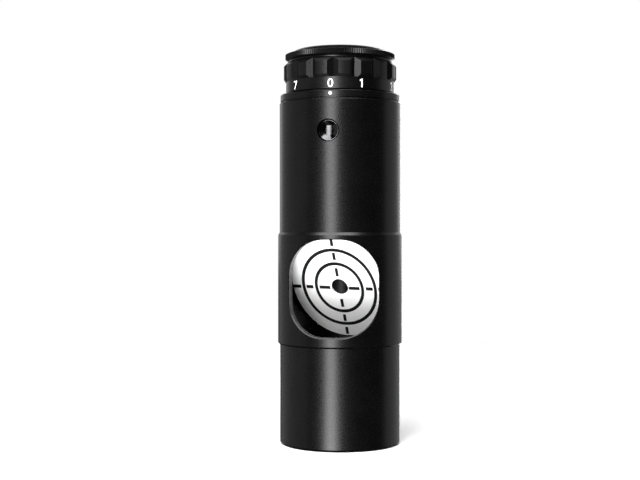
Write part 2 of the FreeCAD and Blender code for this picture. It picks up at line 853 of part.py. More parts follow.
def make_switch_contacts():
    """One contact pad for each dial position, and the common ring inside them."""
    count = int(S.dial_positions.value)
    thickness = S.pad_thickness.value
    pads = []
    for number in range(count):
        angle = 2 * math.pi * number / count
        across = S.pad_ring_radius.value * math.sin(angle)
        along = -S.pad_ring_radius.value * math.cos(angle)
        pads.append(disc_solid(S.pad_radius.value, board_top.value, thickness, across, along))
    outer = disc_solid(S.common_ring_outer.value, board_top.value, thickness)
    inner = disc_solid(S.common_ring_inner.value, board_top.value, thickness)
    shaped("switch_contact_pads", Part.makeCompound(pads + [outer.cut(inner)]))


def make_board_screws():
    shank_bottom = S.switch_base_bottom.value + S.board_screw_rise.value
    shank_length = board_top.value - shank_bottom
    screws = []
    for side in (-1, 1):
        across = side * S.board_screw_offset.value
        shank = disc_solid(S.board_screw_radius.value, shank_bottom, shank_length, across)
        head = disc_solid(S.board_screw_head_radius.value, board_top.value,
                          S.board_screw_head.value, across)
        screws.append(head.fuse(shank))
    shaped("board_screws", Part.makeCompound(screws))


def make_collar():
    body = turned("index_collar", [
        (S.collar_inner_radius, tube_top - S.collar_spigot_length),
        (S.collar_spigot_radius, tube_top - S.collar_spigot_length),
        (S.collar_spigot_radius, tube_top),
        (S.collar_radius - S.collar_undercut, tube_top),
        (S.collar_radius - S.collar_undercut, tube_top + S.collar_undercut),
        (S.collar_radius, tube_top + S.collar_undercut),
        (S.collar_radius, collar_top - S.edge_break),
        (S.collar_radius - S.edge_break, collar_top),
        (S.collar_lip_radius, collar_top),
        (S.collar_lip_radius, lip_bottom),
        (S.collar_inner_radius, lip_bottom),
    ])
    hole = new_sketch(body, "XY_Plane", "detent", lift=collar_top)
    draw_circle(hole, 0, S.detent_pitch_radius, S.detent_hole_radius)
    depth = S.detent_spring_length + S.detent_ball_radius * 2
    pocket(body, hole, "detent_hole", depth)


def make_detent():
    ball_height = dial_bottom - S.detent_ball_gap - S.detent_ball_radius
    ball = primitive("Sphere", "detent_ball", {
        "Radius": S.detent_ball_radius,
    }, position=(0, S.detent_pitch_radius, ball_height))
    ball.Label = "detent_ball"
    sub_parts.append(ball)
    top = ball_height.value - S.detent_ball_radius.value - S.detent_rest_gap.value
    bottom = top - S.detent_coil_length.value
    spring = shaped("detent_spring", coil(S.detent_coil_radius.value, S.detent_wire.value,
                                          bottom, top, S.detent_coil_turns.value))
    spring.Placement.Base = FreeCAD.Vector(0, S.detent_pitch_radius.value, 0)


# ---------------------------------------------------------------- dial and battery

def make_dial():
    groove_top = lip_bottom - S.clip_gap
    groove_bottom = groove_top - S.clip_thickness - S.fit_gap * 2
    thread_bottom = cap_bottom - S.cap_skirt_length - S.thread_runout
    body = turned("brightness_dial", [
        (0, hub_bottom),
        (S.hub_radius, hub_bottom),
        (S.hub_radius, groove_bottom),
        (S.hub_groove_radius, groove_bottom),
        (S.hub_groove_radius, groove_top),
        (S.hub_radius, groove_top),
        (S.hub_radius, dial_bottom),
        (S.band_radius - S.edge_break, dial_bottom),
        (S.band_radius, dial_bottom + S.edge_break),
        (S.band_radius, grip_bottom),
        (S.grip_radius - S.grip_chamfer, grip_bottom),
        (S.grip_radius, grip_bottom + S.grip_chamfer_height),
        (S.grip_radius, grip_top - S.grip_shoulder),
        (S.grip_radius - S.grip_shoulder, grip_top),
        (S.cap_thread_radius, grip_top),
        (S.cap_thread_radius, thread_bottom),
        (S.battery_chamber_radius, thread_bottom),
        (S.battery_chamber_radius, S.battery_chamber_floor),
        (0, S.battery_chamber_floor),
    ])
    flute = new_sketch(body, "XY_Plane", "flute", lift=grip_top)
    flute.setExpression("AttachmentOffset.Rotation.Angle", S.flute_turn.text)
    flute_root = S.grip_radius - S.flute_depth
    flute_reach = S.grip_radius + S.flute_depth
    draw_outline(flute, [
        (0, -flute_root),
        (S.flute_half_width * 2, -flute_reach),
        (-S.flute_half_width * 2, -flute_reach),
    ])
    cut = pocket(body, flute, "flute_cut", S.grip_height)
    repeat_around(body, cut, "flutes", S.flute_count)
    dimple = new_sketch(body, "XY_Plane", "dimple", lift=dial_bottom + S.dimple_depth)
    draw_circle(dimple, 0, S.detent_pitch_radius, S.detent_ball_radius * 0.8)
    cut = pocket(body, dimple, "dimple_cut", S.dimple_depth)
    repeat_around(body, cut, "dimples", S.dial_positions)
    ring("dial_retaining_ring", S.hub_groove_radius + S.fit_gap, S.clip_radius,
         groove_bottom + S.fit_gap, groove_top - S.fit_gap)


def make_wiper():
    """A spring blade under the hub with one finger on the common ring and one on the pads."""
    top = hub_bottom.value - S.fit_gap.value
    thickness = S.wiper_thickness.value
    width = S.wiper_width.value
    length = S.wiper_length.value
    blade_bottom = top - thickness
    blade = Part.makeBox(width, length, thickness,
                         FreeCAD.Vector(-width / 2, -length, blade_bottom))
    tip_height = board_top.value + S.pad_thickness.value + S.wiper_pad_gap.value
    for reach in (S.pad_ring_radius.value, S.wiper_inner_finger.value):
        blade = blade.fuse(disc_solid(S.wiper_finger_radius.value, tip_height,
                                      blade_bottom - tip_height, 0, -reach))
    shaped("contact_wiper", blade)


def make_battery():
    inner = S.insulator_radius - S.insulator_wall
    floor_bottom = S.battery_chamber_floor + S.fit_gap
    wall_top = cell_top - S.insulator_drop
    turned("battery_insulator", [
        (S.insulator_hole_radius, floor_bottom),
        (S.insulator_radius, floor_bottom),
        (S.insulator_radius, wall_top),
        (inner, wall_top),
        (inner, floor_bottom + S.insulator_wall),
        (S.insulator_hole_radius, floor_bottom + S.insulator_wall),
    ])
    rim_inner = S.cell_radius - S.cell_rim_step * 2
    rim_low = S.cell_bottom + S.cell_rim_step
    turned("coin_cell", [
        (0, S.cell_bottom),
        (rim_inner - S.edge_break, S.cell_bottom),
        (rim_inner, rim_low),
        (S.cell_radius - S.edge_break, rim_low),
        (S.cell_radius, rim_low + S.edge_break),
        (S.cell_radius, cell_top),
        (0, cell_top),
    ])
    coil_bottom = floor_bottom.value + S.insulator_wall.value + S.negative_base_gap.value
    coil_top = S.cell_bottom.value - S.negative_cell_gap.value
    shaped("negative_spring", coil(S.negative_coil_radius.value, S.negative_wire.value,
                                   coil_bottom, coil_top, S.negative_turns.value))


def cap_outline():
    """The cap's half section: its straight corners, and the dome's three guide points."""
    rim = S.cap_rim_radius
    dome_base = rim_top + S.cap_rim_step
    groove_bottom = cap_bottom - S.seal_drop - S.seal_section * 1.6
    groove_radius = S.cap_skirt_radius - S.seal_section
    corners = [
        (ZERO, ceiling),
        (S.cap_skirt_bore_radius, ceiling),
        (S.cap_skirt_bore_radius, cap_bottom - S.cap_skirt_length),
        (S.cap_skirt_radius, cap_bottom - S.cap_skirt_length),
        (S.cap_skirt_radius, groove_bottom),
        (groove_radius, groove_bottom),
        (groove_radius, cap_bottom),
        (S.cap_neck_radius, cap_bottom),
        (S.cap_neck_radius, rim_chamfer_bottom),
        (rim, rim_bottom),
        (rim, rim_top),
        (rim - S.cap_rim_step_width, dome_base),
        (S.cap_dome_radius, dome_base),
    ]
    guides = [
        (S.cap_dome_flank_radius, dome_base + S.cap_dome_flank_rise),
        (S.cap_dome_flat_radius, S.cap_height - S.cap_dome_fall),
        (S.cap_dome_flat_radius * HALF, S.cap_height - S.cap_crest_fall),
    ]
    as_points = [
        [FreeCAD.Vector(radius.value, 0, level.value) for radius, level in row]
        for row in (corners, guides)
    ]
    return as_points


def make_cap():
    """The knurled battery cap with its threaded skirt and a coin slot in its crown."""
    height = S.cap_height.value
    corners, (flank, shoulder, crest) = cap_outline()
    crown = FreeCAD.Vector(0, 0, height)
    edges = [Part.LineSegment(*pair).toShape() for pair in zip(corners, corners[1:])]
    edges.append(Part.Arc(corners[-1], flank, shoulder).toShape())
    edges.append(Part.Arc(shoulder, crest, crown).toShape())
    edges.append(Part.LineSegment(crown, corners[0]).toShape())
    solid = Part.Face(Part.Wire(edges)).revolve(
        FreeCAD.Vector(0, 0, 0), FreeCAD.Vector(0, 0, 1), 360)
    knurled = knurl_prism(S.cap_rim_radius.value, S.knurl_depth.value, int(S.knurl_teeth.value),
                          S.battery_chamber_floor.value, height + 1)
    slot_length = S.coin_slot_length.value
    slot_width = S.coin_slot_width.value
    slot_depth = S.coin_slot_depth.value
    slot = Part.makeBox(slot_length, slot_width, slot_depth,
                        FreeCAD.Vector(-slot_length / 2, -slot_width / 2, height - slot_depth))
    shaped("battery_cap", solid.common(knurled).cut(slot))


def make_positive_contact():
    """The cap's spring plate with the button that presses on the cell."""
    plate_thickness = S.contact_plate_thickness.value
    plate_bottom = ceiling.value - S.fit_gap.value - plate_thickness
    button_bottom = cell_top.value + S.contact_cell_gap.value
    plate = disc_solid(S.contact_plate_radius.value, plate_bottom, plate_thickness)
    button = disc_solid(S.contact_button_radius.value, button_bottom,
                        plate_bottom - button_bottom)
    shaped("positive_contact", plate.fuse(button))


def knurl_prism(radius, depth, teeth, bottom, top):
    """An upright prism whose section is a ring of fine V teeth."""
    corners = []
    for step in range(2 * teeth):
        angle = math.pi * step / teeth
        reach = radius if step % 2 == 0 else radius - depth
        corners.append(FreeCAD.Vector(reach * math.cos(angle), reach * math.sin(angle), bottom))
    outline = Part.makePolygon(corners + corners[:1])
    return Part.Face(outline).extrude(FreeCAD.Vector(0, 0, top - bottom))


def make_seal():
    centre = cap_bottom - S.seal_drop - S.seal_section * 0.8
    seal = primitive("Torus", "cap_seal_ring", {
        "Radius1": S.cap_skirt_radius - S.seal_section * HALF,
        "Radius2": (S.seal_section - S.fit_gap) * HALF,
    }, position=(0, 0, centre))
    seal.Label = "cap_seal_ring"
    sub_parts.append(seal)


# ---------------------------------------------------------------- checks and files

def check_document():
    """Stop if anything in the document failed, or a sub-part has no sound shape."""
    document.recompute()
    for item in document.Objects:
        if {"Invalid", "Error"} & set(item.State):
            raise RuntimeError(f"{item.Name} failed: {item.State}")
    for part in sub_parts:
        if part.Shape.isNull() or not part.Shape.isValid():
            raise RuntimeError(f"{part.Label} has no valid shape")


def write_parts():
    os.makedirs("parts", exist_ok=True)
    for part in sub_parts:
        part.Shape.exportStep(os.path.join("parts", f"{part.Label}.step"))
        box = part.Shape.BoundBox
        print(f"{part.Label:24s} {part.Shape.Volume:10.1f} mm3  z {box.ZMin:7.2f} to {box.ZMax:7.2f}")


make_nosepiece_barrel()
make_window_housing()
make_main_tube()
make_target()
make_pivot_ring()
make_carrier()
make_module_shell()
make_lens()
make_lens_spring()
make_diode()
make_driver()
make_adjusters()
make_switch_stack()
make_switch_contacts()
make_board_screws()
make_collar()
make_detent()
make_dial()
make_wiper()
make_battery()
make_cap()
make_positive_contact()
make_seal()
check_document()
write_parts()
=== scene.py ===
"""Looks of the laser collimator: anodised metal, enamelled target, printed marks and studio."""
import json
import math

import bpy
import bmesh
from mathutils import Matrix, Vector


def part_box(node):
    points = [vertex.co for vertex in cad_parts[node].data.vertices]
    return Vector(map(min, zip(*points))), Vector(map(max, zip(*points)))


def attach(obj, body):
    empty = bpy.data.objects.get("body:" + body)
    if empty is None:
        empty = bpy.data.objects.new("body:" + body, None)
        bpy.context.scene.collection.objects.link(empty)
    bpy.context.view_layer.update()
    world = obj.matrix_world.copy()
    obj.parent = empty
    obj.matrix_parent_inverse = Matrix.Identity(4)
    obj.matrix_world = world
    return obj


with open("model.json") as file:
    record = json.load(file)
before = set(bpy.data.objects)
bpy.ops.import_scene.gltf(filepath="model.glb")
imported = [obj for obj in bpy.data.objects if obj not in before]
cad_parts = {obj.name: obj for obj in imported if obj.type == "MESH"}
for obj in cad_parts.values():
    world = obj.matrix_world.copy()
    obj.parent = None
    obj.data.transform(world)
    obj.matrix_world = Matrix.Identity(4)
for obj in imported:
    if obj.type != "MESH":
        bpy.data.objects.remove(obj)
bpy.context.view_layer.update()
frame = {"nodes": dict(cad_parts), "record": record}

MM = 0.001

# camera and room, in the frame's metres and degrees; azimuth 0 looks along +Y
CAMERA_AZIMUTH = 8.1
CAMERA_DISTANCE = 0.327
CAMERA_HEIGHT = 0.057
CAMERA_LENS_MM = 69.2
SENSOR_WIDTH_MM = 36.0
NEAREST_SEEN = 0.01
AIM_HEIGHT = 0.0538
AIM_LEFT = 0.0053
FLOOR_RADIUS = 0.28
FLOOR_SEGMENTS = 96
ROOM_GLOW = 0.03
BACKDROP_GLOW = 1.0
STUDIO_WHITE = (1.0, 1.0, 1.0, 1.0)

# printed marks; angles in degrees, the target's slope and centre height as in the CAD
PRINT_THICKNESS = 0.015 * MM
TARGET_TURN = -4.2
TARGET_PRINT_TWIST = 1.6
TARGET_PRINT_SHIFT = -0.12 * MM
TARGET_CENTRE_HEIGHT = 41.1 * MM
TARGET_SLOPE = 1.08
RING_RADII = (6.07 * MM, 9.45 * MM)
RING_STRETCH_ACROSS = 1.02
RING_SEGMENTS = 128
CROSS_ARMS = 4
PRINT_LINE_WIDTH = 0.80 * MM
DASHES_ALONG = ((2.9 * MM, 5.0 * MM), (7.0 * MM, 8.8 * MM), (10.4 * MM, 12.3 * MM))
DASHES_ACROSS = ((2.5 * MM, 5.4 * MM), (7.1 * MM, 8.95 * MM), (10.4 * MM, 12.6 * MM))
DIAL_BAND_RADIUS = 14.3 * MM
DIAL_BAND_HEIGHT = 3.25 * MM
DIAL_BAND_GAP = 0.2 * MM
DIGIT_COUNT = 8
DIGIT_HEIGHT = 2.2 * MM
DIGIT_CURVE_STEPS = 6
DIGIT_ZERO_ANGLE = -1.75
DIGIT_FIRST_STEP = 32.7
DIGIT_STEP = 47.3
SLICE_WIDTH = 0.2 * MM
CUTS_EACH_SIDE = 3
WELD_DISTANCE = 1e-7
COLLAR_RADIUS = 15.77 * MM
INDEX_DOT_ANGLE = -0.9
INDEX_DOT_RADIUS = 0.41 * MM
INDEX_DOT_DROP = 0.95 * MM
INDEX_DOT_SEGMENTS = 48

# the numeral 1 as (across, up), both in digit heights
ONE_OUTLINE = (
    (0.10, 0.50), (-0.03, 0.50), (-0.23, 0.36), (-0.23, 0.21), (-0.06, 0.31),
    (-0.06, -0.50), (0.10, -0.50),
)

# the two tones that the body's and the dial's anodising share
ANODISED_DARK = (0.0007, 0.0007, 0.0008)
ANODISED_LIGHT = (0.0012, 0.0012, 0.0013)


# ---------------------------------------------------------------- material helpers

class Nodes:
    """A material's node tree, with short calls for the nodes that the finishes share."""

    def __init__(self, name):
        self.material = bpy.data.materials.new(name)
        self.material.use_nodes = True
        self.tree = self.material.node_tree
        self.shader = self.tree.nodes["Principled BSDF"]
        self.place = self.tree.nodes.new("ShaderNodeTexCoord").outputs["Object"]

    def link(self, source, target):
        self.tree.links.new(source, target)

    def set(self, **sockets):
        names = {
            "colour": "Base Color", "metal": "Metallic", "rough": "Roughness", "ior": "IOR",
            "specular": "Specular IOR Level", "coat": "Coat Weight",
            "coat_rough": "Coat Roughness", "clear": "Transmission Weight",
        }
        for key, value in sockets.items():
            if key == "colour":
                value = (*value, 1.0)
            self.shader.inputs[names[key]].default_value = value

    def stretched(self, scale):
        """Object coordinates scaled separately along x, y and z."""
        mapping = self.tree.nodes.new("ShaderNodeMapping")
        mapping.inputs["Scale"].default_value = scale
        self.link(self.place, mapping.inputs["Vector"])
        return mapping.outputs["Vector"]

    def noise(self, scale, detail=2.0, place=None):
        """A noise texture's value, with scale in features to the metre."""
        node = self.tree.nodes.new("ShaderNodeTexNoise")
        node.inputs["Scale"].default_value = scale
        node.inputs["Detail"].default_value = detail
        self.link(place or self.place, node.inputs["Vector"])
        return node.outputs["Fac"]

    def spread(self, value, low, high):
        """Map the middle of a noise texture's range, 0.3 to 0.7, to low..high."""
        node = self.tree.nodes.new("ShaderNodeMapRange")
        for name, number in (("From Min", 0.3), ("From Max", 0.7),
                             ("To Min", low), ("To Max", high)):
            node.inputs[name].default_value = number
        self.link(value, node.inputs["Value"])
        return node.outputs["Result"]

    def blend_colours(self, value, first, second, start=0.35, stop=0.65):
        """Colour the surface from first to second as value goes from start to stop."""
        node = self.tree.nodes.new("ShaderNodeValToRGB")
        ends = node.color_ramp.elements
        ends[0].position, ends[0].color = start, (*first, 1.0)
        ends[1].position, ends[1].color = stop, (*second, 1.0)
        self.link(value, node.inputs["Fac"])
        self.link(node.outputs["Color"], self.shader.inputs["Base Color"])

    def bump(self, value, strength, depth, under=None):
        """A normal raised by value, depth in metres, laid over another normal if given."""
        node = self.tree.nodes.new("ShaderNodeBump")
        node.inputs["Strength"].default_value = strength
        node.inputs["Distance"].default_value = depth
        self.link(value, node.inputs["Height"])
        if under is not None:
            self.link(under, node.inputs["Normal"])
        return node.outputs["Normal"]

    def finish_with(self, rough, normal=None):
        """Connect the roughness and normal, and hand over the finished material."""
        self.link(rough, self.shader.inputs["Roughness"])
        if normal is not None:
            self.link(normal, self.shader.inputs["Normal"])
        return self.material


def anodised(name, dark, light, rough, grain_depth, specular):
    """Bead-blasted black anodising: a fine grain, faint handling marks and uneven sheen."""
    nodes = Nodes(name)
    nodes.set(specular=specular)
    cloud = nodes.noise(scale=160.0, detail=4.0)
    nodes.blend_colours(cloud, dark, light)
    grain = nodes.noise(scale=9000.0, detail=3.0)
    blast_marks = nodes.noise(scale=3800.0, detail=2.0)
    first = nodes.bump(grain, strength=0.35, depth=grain_depth)
    normal = nodes.bump(blast_marks, strength=0.30, depth=grain_depth * 1.2, under=first)
    sheen = nodes.spread(nodes.noise(scale=2600.0, detail=4.0), rough - 0.03, rough + 0.03)
    return nodes.finish_with(sheen, normal)


def machined(name, dark, light, rough):
    """Turned or milled metal: fine tool lines round the axis over a soft mottle."""
    nodes = Nodes(name)
    nodes.set(metal=1.0, specular=0.5)
    nodes.blend_colours(nodes.noise(scale=260.0, detail=3.0), dark, light)
    lines = nodes.noise(scale=1.0, place=nodes.stretched((150.0, 150.0, 16000.0)))
    grain = nodes.noise(scale=12000.0, detail=2.0)
    grained = nodes.bump(grain, strength=0.2, depth=0.004 * MM)
    normal = nodes.bump(lines, strength=0.22, depth=0.006 * MM, under=grained)
    sheen = nodes.spread(nodes.noise(scale=600.0, detail=4.0), rough - 0.06, rough + 0.08)
    return nodes.finish_with(sheen, normal)


def enamel(name, first, second, rough):
    """Sprayed enamel: slight orange peel and a faintly uneven white."""
    nodes = Nodes(name)
    nodes.set(specular=0.45)
    nodes.blend_colours(nodes.noise(scale=220.0, detail=4.0), first, second)
    normal = nodes.bump(nodes.noise(scale=2200.0, detail=2.0), strength=0.15, depth=0.008 * MM)
    sheen = nodes.spread(nodes.noise(scale=500.0, detail=3.0), rough - 0.05, rough + 0.08)
    return nodes.finish_with(sheen, normal)


def moulded(name, first, second, rough):
    """Moulded plastic or rubber with a fine matt texture."""
    nodes = Nodes(name)
    nodes.set(specular=0.4)
    nodes.blend_colours(nodes.noise(scale=300.0, detail=3.0), first, second)
    normal = nodes.bump(nodes.noise(scale=1500.0, detail=3.0), strength=0.3, depth=0.02 * MM)
    sheen = nodes.spread(nodes.noise(scale=700.0, detail=3.0), rough - 0.08, rough + 0.08)
    return nodes.finish_with(sheen, normal)


def circuit_board(name):
    """Solder mask with copper tracks showing as slightly lighter bands."""
    nodes = Nodes(name)
    nodes.set(specular=0.5)
    weave = nodes.tree.nodes.new("ShaderNodeTexBrick")
    weave.inputs["Scale"].default_value = 900.0
    weave.inputs["Mortar Size"].default_value = 0.08
    nodes.link(nodes.place, weave.inputs["Vector"])
    nodes.blend_colours(weave.outputs["Fac"], (0.012, 0.09, 0.035), (0.03, 0.17, 0.06), 0.1, 0.9)
    normal = nodes.bump(weave.outputs["Fac"], strength=0.3, depth=0.02 * MM)
    sheen = nodes.spread(nodes.noise(scale=900.0, detail=3.0), 0.28, 0.42)
    return nodes.finish_with(sheen, normal)


def coated_glass(name):
    """Clear coated glass with faint smears."""
    nodes = Nodes(name)
    nodes.set(colour=(0.93, 0.97, 0.96), clear=1.0, ior=1.52, coat=0.3, coat_rough=0.03)
    smear = nodes.spread(nodes.noise(scale=800.0, detail=4.0), 0.01, 0.05)
    normal = nodes.bump(nodes.noise(scale=500.0, detail=2.0), strength=0.02, depth=0.002 * MM)
    return nodes.finish_with(smear, normal)


def printed_ink(name, first, second, rough):
    """Screen-printed ink, thin and slightly uneven."""
    nodes = Nodes(name)
    nodes.set(specular=0.25)
    nodes.blend_colours(nodes.noise(scale=3000.0, detail=3.0), first, second)
    normal = nodes.bump(nodes.noise(scale=9000.0, detail=2.0), strength=0.15, depth=0.004 * MM)
    sheen = nodes.spread(nodes.noise(scale=1500.0, detail=3.0), rough - 0.05, rough + 0.1)
    return nodes.finish_with(sheen, normal)


MATERIALS = {
    "black_anodised": anodised("black_anodised", ANODISED_DARK, ANODISED_LIGHT,
                               0.28, 0.010 * MM, 0.32),
    "dial_black": anodised("dial_black", ANODISED_DARK, ANODISED_LIGHT, 0.30, 0.006 * MM, 0.34),
    "cap_black": anodised("cap_black", (0.0010, 0.0010, 0.0011), (0.0016, 0.0016, 0.0017),
                          0.30, 0.006 * MM, 0.34),
    "matt_black": anodised("matt_black", (0.002, 0.002, 0.002), (0.004, 0.004, 0.004),
                           0.55, 0.015 * MM, 0.25),
    "target_white": enamel("target_white", (0.94, 0.94, 0.935), (0.97, 0.97, 0.965), 0.34),
    "screw_black": machined("screw_black", (0.05, 0.05, 0.052), (0.07, 0.07, 0.072), 0.13),
    "rubber": moulded("rubber", (0.014, 0.014, 0.014), (0.024, 0.024, 0.024), 0.62),
    "carrier_aluminium": machined("carrier_aluminium", (0.50, 0.51, 0.53), (0.60, 0.61, 0.63),
                                  0.32),
    "brass": machined("brass", (0.62, 0.43, 0.16), (0.76, 0.56, 0.26), 0.26),
    "lens_glass": coated_glass("lens_glass"),
    "steel": machined("steel", (0.52, 0.52, 0.53), (0.64, 0.64, 0.64), 0.24),
    "gold_contact": machined("gold_contact", (0.78, 0.58, 0.22), (0.88, 0.69, 0.32), 0.18),
    "circuit_board": circuit_board("circuit_board"),
    "component_black": moulded("component_black", (0.02, 0.02, 0.02), (0.035, 0.035, 0.035), 0.45),
    "lead_insulation": moulded("lead_insulation", (0.38, 0.02, 0.015), (0.5, 0.04, 0.03), 0.4),
    "switch_plastic": moulded("switch_plastic", (0.035, 0.035, 0.04), (0.06, 0.06, 0.065), 0.5),
}
INK_BLACK = printed_ink("ink_black", (0.002, 0.002, 0.002), (0.005, 0.005, 0.005), 0.60)
INK_WHITE = printed_ink("ink_white", (0.90, 0.90, 0.90), (0.96, 0.96, 0.96), 0.45)


def dress_cad_nodes():
    """Give every CAD node the material of its slot in the record."""
    slots = {row["node"]: row["material_slot"] for row in frame["record"]["subparts"]}
    for name, node in frame["nodes"].items():
        node.data.materials.clear()
        node.data.materials.append(MATERIALS[slots[name]])


# ---------------------------------------------------------------- mesh helpers

def new_piece(name, mesh_data, material, body):
    """Put a mesh in the scene as a named piece that rides a body and fills a slot."""
    piece = bpy.data.objects.new(name, mesh_data)
    bpy.context.scene.collection.objects.link(piece)
    mesh_data.materials.clear()
    mesh_data.materials.append(material)
    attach(piece, body)
    return piece


def grid_shell(name, rows, closed):
    """A thin closed shell from rows of (outer point, inner point) pairs across a strip."""
    shell = bmesh.new()
    columns = len(rows[0])
    front = [[shell.verts.new(pair[0]) for pair in row] for row in rows]
    back = [[shell.verts.new(pair[1]) for pair in row] for row in rows]
    row_count = len(rows)
    last = row_count if closed else row_count - 1
    for index in range(last):
        following = (index + 1) % row_count
        for column in range(columns - 1):
            a, b = front[index][column], front[index][column + 1]
            c, d = front[following][column + 1], front[following][column]
            shell.faces.new((a, b, c, d))
            a, b = back[index][column + 1], back[index][column]
            c, d = back[following][column], back[following][column + 1]
            shell.faces.new((a, b, c, d))
        for column in (0, columns - 1):
            a, b = front[index][column], front[following][column]
            c, d = back[following][column], back[index][column]
            shell.faces.new((a, b, c, d) if column == 0 else (d, c, b, a))
    if not closed:
        for index in (0, row_count - 1):
            for column in range(columns - 1):
                a, b = front[index][column], front[index][column + 1]
                c, d = back[index][column + 1], back[index][column]
                shell.faces.new((d, c, b, a) if index == 0 else (a, b, c, d))
    bmesh.ops.recalc_face_normals(shell, faces=shell.faces)
    mesh_data = bpy.data.meshes.new(name)
    shell.to_mesh(mesh_data)
    shell.free()
    return mesh_data


# ---------------------------------------------------------------- target print

def on_target(across, along, lift):
    """A point on the target's slanted face, given in plan and turned with the target."""
    height = TARGET_CENTRE_HEIGHT - TARGET_SLOPE * along
    point = Vector((across + TARGET_PRINT_SHIFT, along, height))
    point += Vector((0, -TARGET_SLOPE, -1)).normalized() * lift
    return Matrix.Rotation(math.radians(TARGET_TURN), 3, "Z") @ point


def print_pair(across, along):
    """The outer and inner point of the print over one place on the target."""
    return (on_target(across, along, PRINT_THICKNESS), on_target(across, along, -PRINT_THICKNESS))


def add_target_rings():
    for number, radius in enumerate(RING_RADII, start=1):
        reaches = (radius - PRINT_LINE_WIDTH / 2, radius + PRINT_LINE_WIDTH / 2)
        rows = []
        for step in range(RING_SEGMENTS):
            angle = 2 * math.pi * step / RING_SEGMENTS
            across = math.sin(angle) * RING_STRETCH_ACROSS
            rows.append([print_pair(r * across, -r * math.cos(angle)) for r in reaches])
        name = f"target_ring_{number}"
        new_piece(name, grid_shell(name, rows, closed=True), INK_BLACK, "root")


def add_target_dashes():
    for arm in range(CROSS_ARMS):
        angle = math.radians(360 / CROSS_ARMS * arm + TARGET_PRINT_TWIST)
        outward = Vector((math.sin(angle), -math.cos(angle)))
        sideways = Vector((outward.y, -outward.x)) * PRINT_LINE_WIDTH / 2
        dashes = DASHES_ACROSS if arm % 2 else DASHES_ALONG
        for number, (start, stop) in enumerate(dashes, start=1):
            rows = []
            for reach in (start, stop):
                middle = outward * reach
                rows.append([print_pair(*(middle + sideways)), print_pair(*(middle - sideways))])
            name = f"target_dash_{arm + 1}_{number}"
            new_piece(name, grid_shell(name, rows, closed=False), INK_BLACK, "root")


# ---------------------------------------------------------------- dial numbers and index dot

def wrapped(mesh_data, radius, angle, height):
    """Bend a flat mark, drawn in x and y with its thickness in z, round the tube axis."""
    for vertex in mesh_data.vertices:
        turn = math.radians(angle) + vertex.co.x / radius
        reach = radius + vertex.co.z
        vertex.co = (reach * math.sin(turn), -reach * math.cos(turn), height + vertex.co.y)
    mesh_data.update()


def one_mesh():
    """The numeral 1 with its flag, as a thin solid one digit high."""
    solid = bmesh.new()
    rings = []
    for depth in (PRINT_THICKNESS, -PRINT_THICKNESS):
        rings.append([solid.verts.new((across * DIGIT_HEIGHT, up * DIGIT_HEIGHT, depth))
                      for across, up in ONE_OUTLINE])
    front, back = rings
    solid.faces.new(front)
    solid.faces.new(list(reversed(back)))
    for index, corner in enumerate(front):
        solid.faces.new((front[index - 1], back[index - 1], back[index], corner))
    bmesh.ops.recalc_face_normals(solid, faces=solid.faces)
    mesh_data = bpy.data.meshes.new("digit_1")
    solid.to_mesh(mesh_data)
    solid.free()
    return mesh_data


def sliced(mesh_data):
    """Cut a flat mark into narrow upright slices, so that it can follow a curved surface."""
    fine = bmesh.new()
    fine.from_mesh(mesh_data)
    bmesh.ops.remove_doubles(fine, verts=fine.verts, dist=WELD_DISTANCE)
    for step in range(-CUTS_EACH_SIDE, CUTS_EACH_SIDE + 1):
        geometry = fine.verts[:] + fine.edges[:] + fine.faces[:]
        bmesh.ops.bisect_plane(fine, geom=geometry, plane_co=(step * SLICE_WIDTH, 0, 0),
                               plane_no=(1, 0, 0))
    fine.to_mesh(mesh_data)
    fine.free()
    return mesh_data


def number_mesh(digit):
    """A numeral as a thin solid of the dial's digit size, centred on its own middle."""
    curve = bpy.data.curves.new(f"digit_{digit}", "FONT")
    curve.body = str(digit)
    curve.extrude = PRINT_THICKNESS
    curve.resolution_u = DIGIT_CURVE_STEPS
    letter = bpy.data.objects.new(f"digit_{digit}", curve)
    bpy.context.scene.collection.objects.link(letter)
    bpy.context.view_layer.update()
    mesh_data = bpy.data.meshes.new_from_object(letter)
    bpy.data.objects.remove(letter)
    xs = [vertex.co.x for vertex in mesh_data.vertices]
    ys = [vertex.co.y for vertex in mesh_data.vertices]
    scale = DIGIT_HEIGHT / (max(ys) - min(ys))
    centre = Vector(((max(xs) + min(xs)) / 2, (max(ys) + min(ys)) / 2, 0))
    for vertex in mesh_data.vertices:
        moved = vertex.co - centre
        vertex.co = (moved.x * scale, moved.y * scale, moved.z)
    return mesh_data


def add_dial_numbers():
    band_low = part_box("index_collar")[1].z + DIAL_BAND_GAP
    middle = band_low + DIAL_BAND_HEIGHT / 2
    angles = [DIGIT_ZERO_ANGLE]
    angles += [DIGIT_ZERO_ANGLE + DIGIT_FIRST_STEP + DIGIT_STEP * step
               for step in range(DIGIT_COUNT - 1)]
    for digit, angle in enumerate(angles):
        mesh_data = sliced(one_mesh() if digit == 1 else number_mesh(digit))
        wrapped(mesh_data, DIAL_BAND_RADIUS, angle, middle)
        new_piece(f"dial_number_{digit}", mesh_data, INK_WHITE, "dial")


def add_index_dot():
    collar_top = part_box("index_collar")[1].z
    disc = bmesh.new()
    bmesh.ops.create_cone(disc, cap_ends=True, segments=INDEX_DOT_SEGMENTS,
                          radius1=INDEX_DOT_RADIUS, radius2=INDEX_DOT_RADIUS,
                          depth=PRINT_THICKNESS * 2)
    mesh_data = bpy.data.meshes.new("index_dot")
    disc.to_mesh(mesh_data)
    disc.free()
    wrapped(mesh_data, COLLAR_RADIUS, INDEX_DOT_ANGLE, collar_top - INDEX_DOT_DROP)
    new_piece("index_dot", mesh_data, INK_WHITE, "root")


# ---------------------------------------------------------------- studio

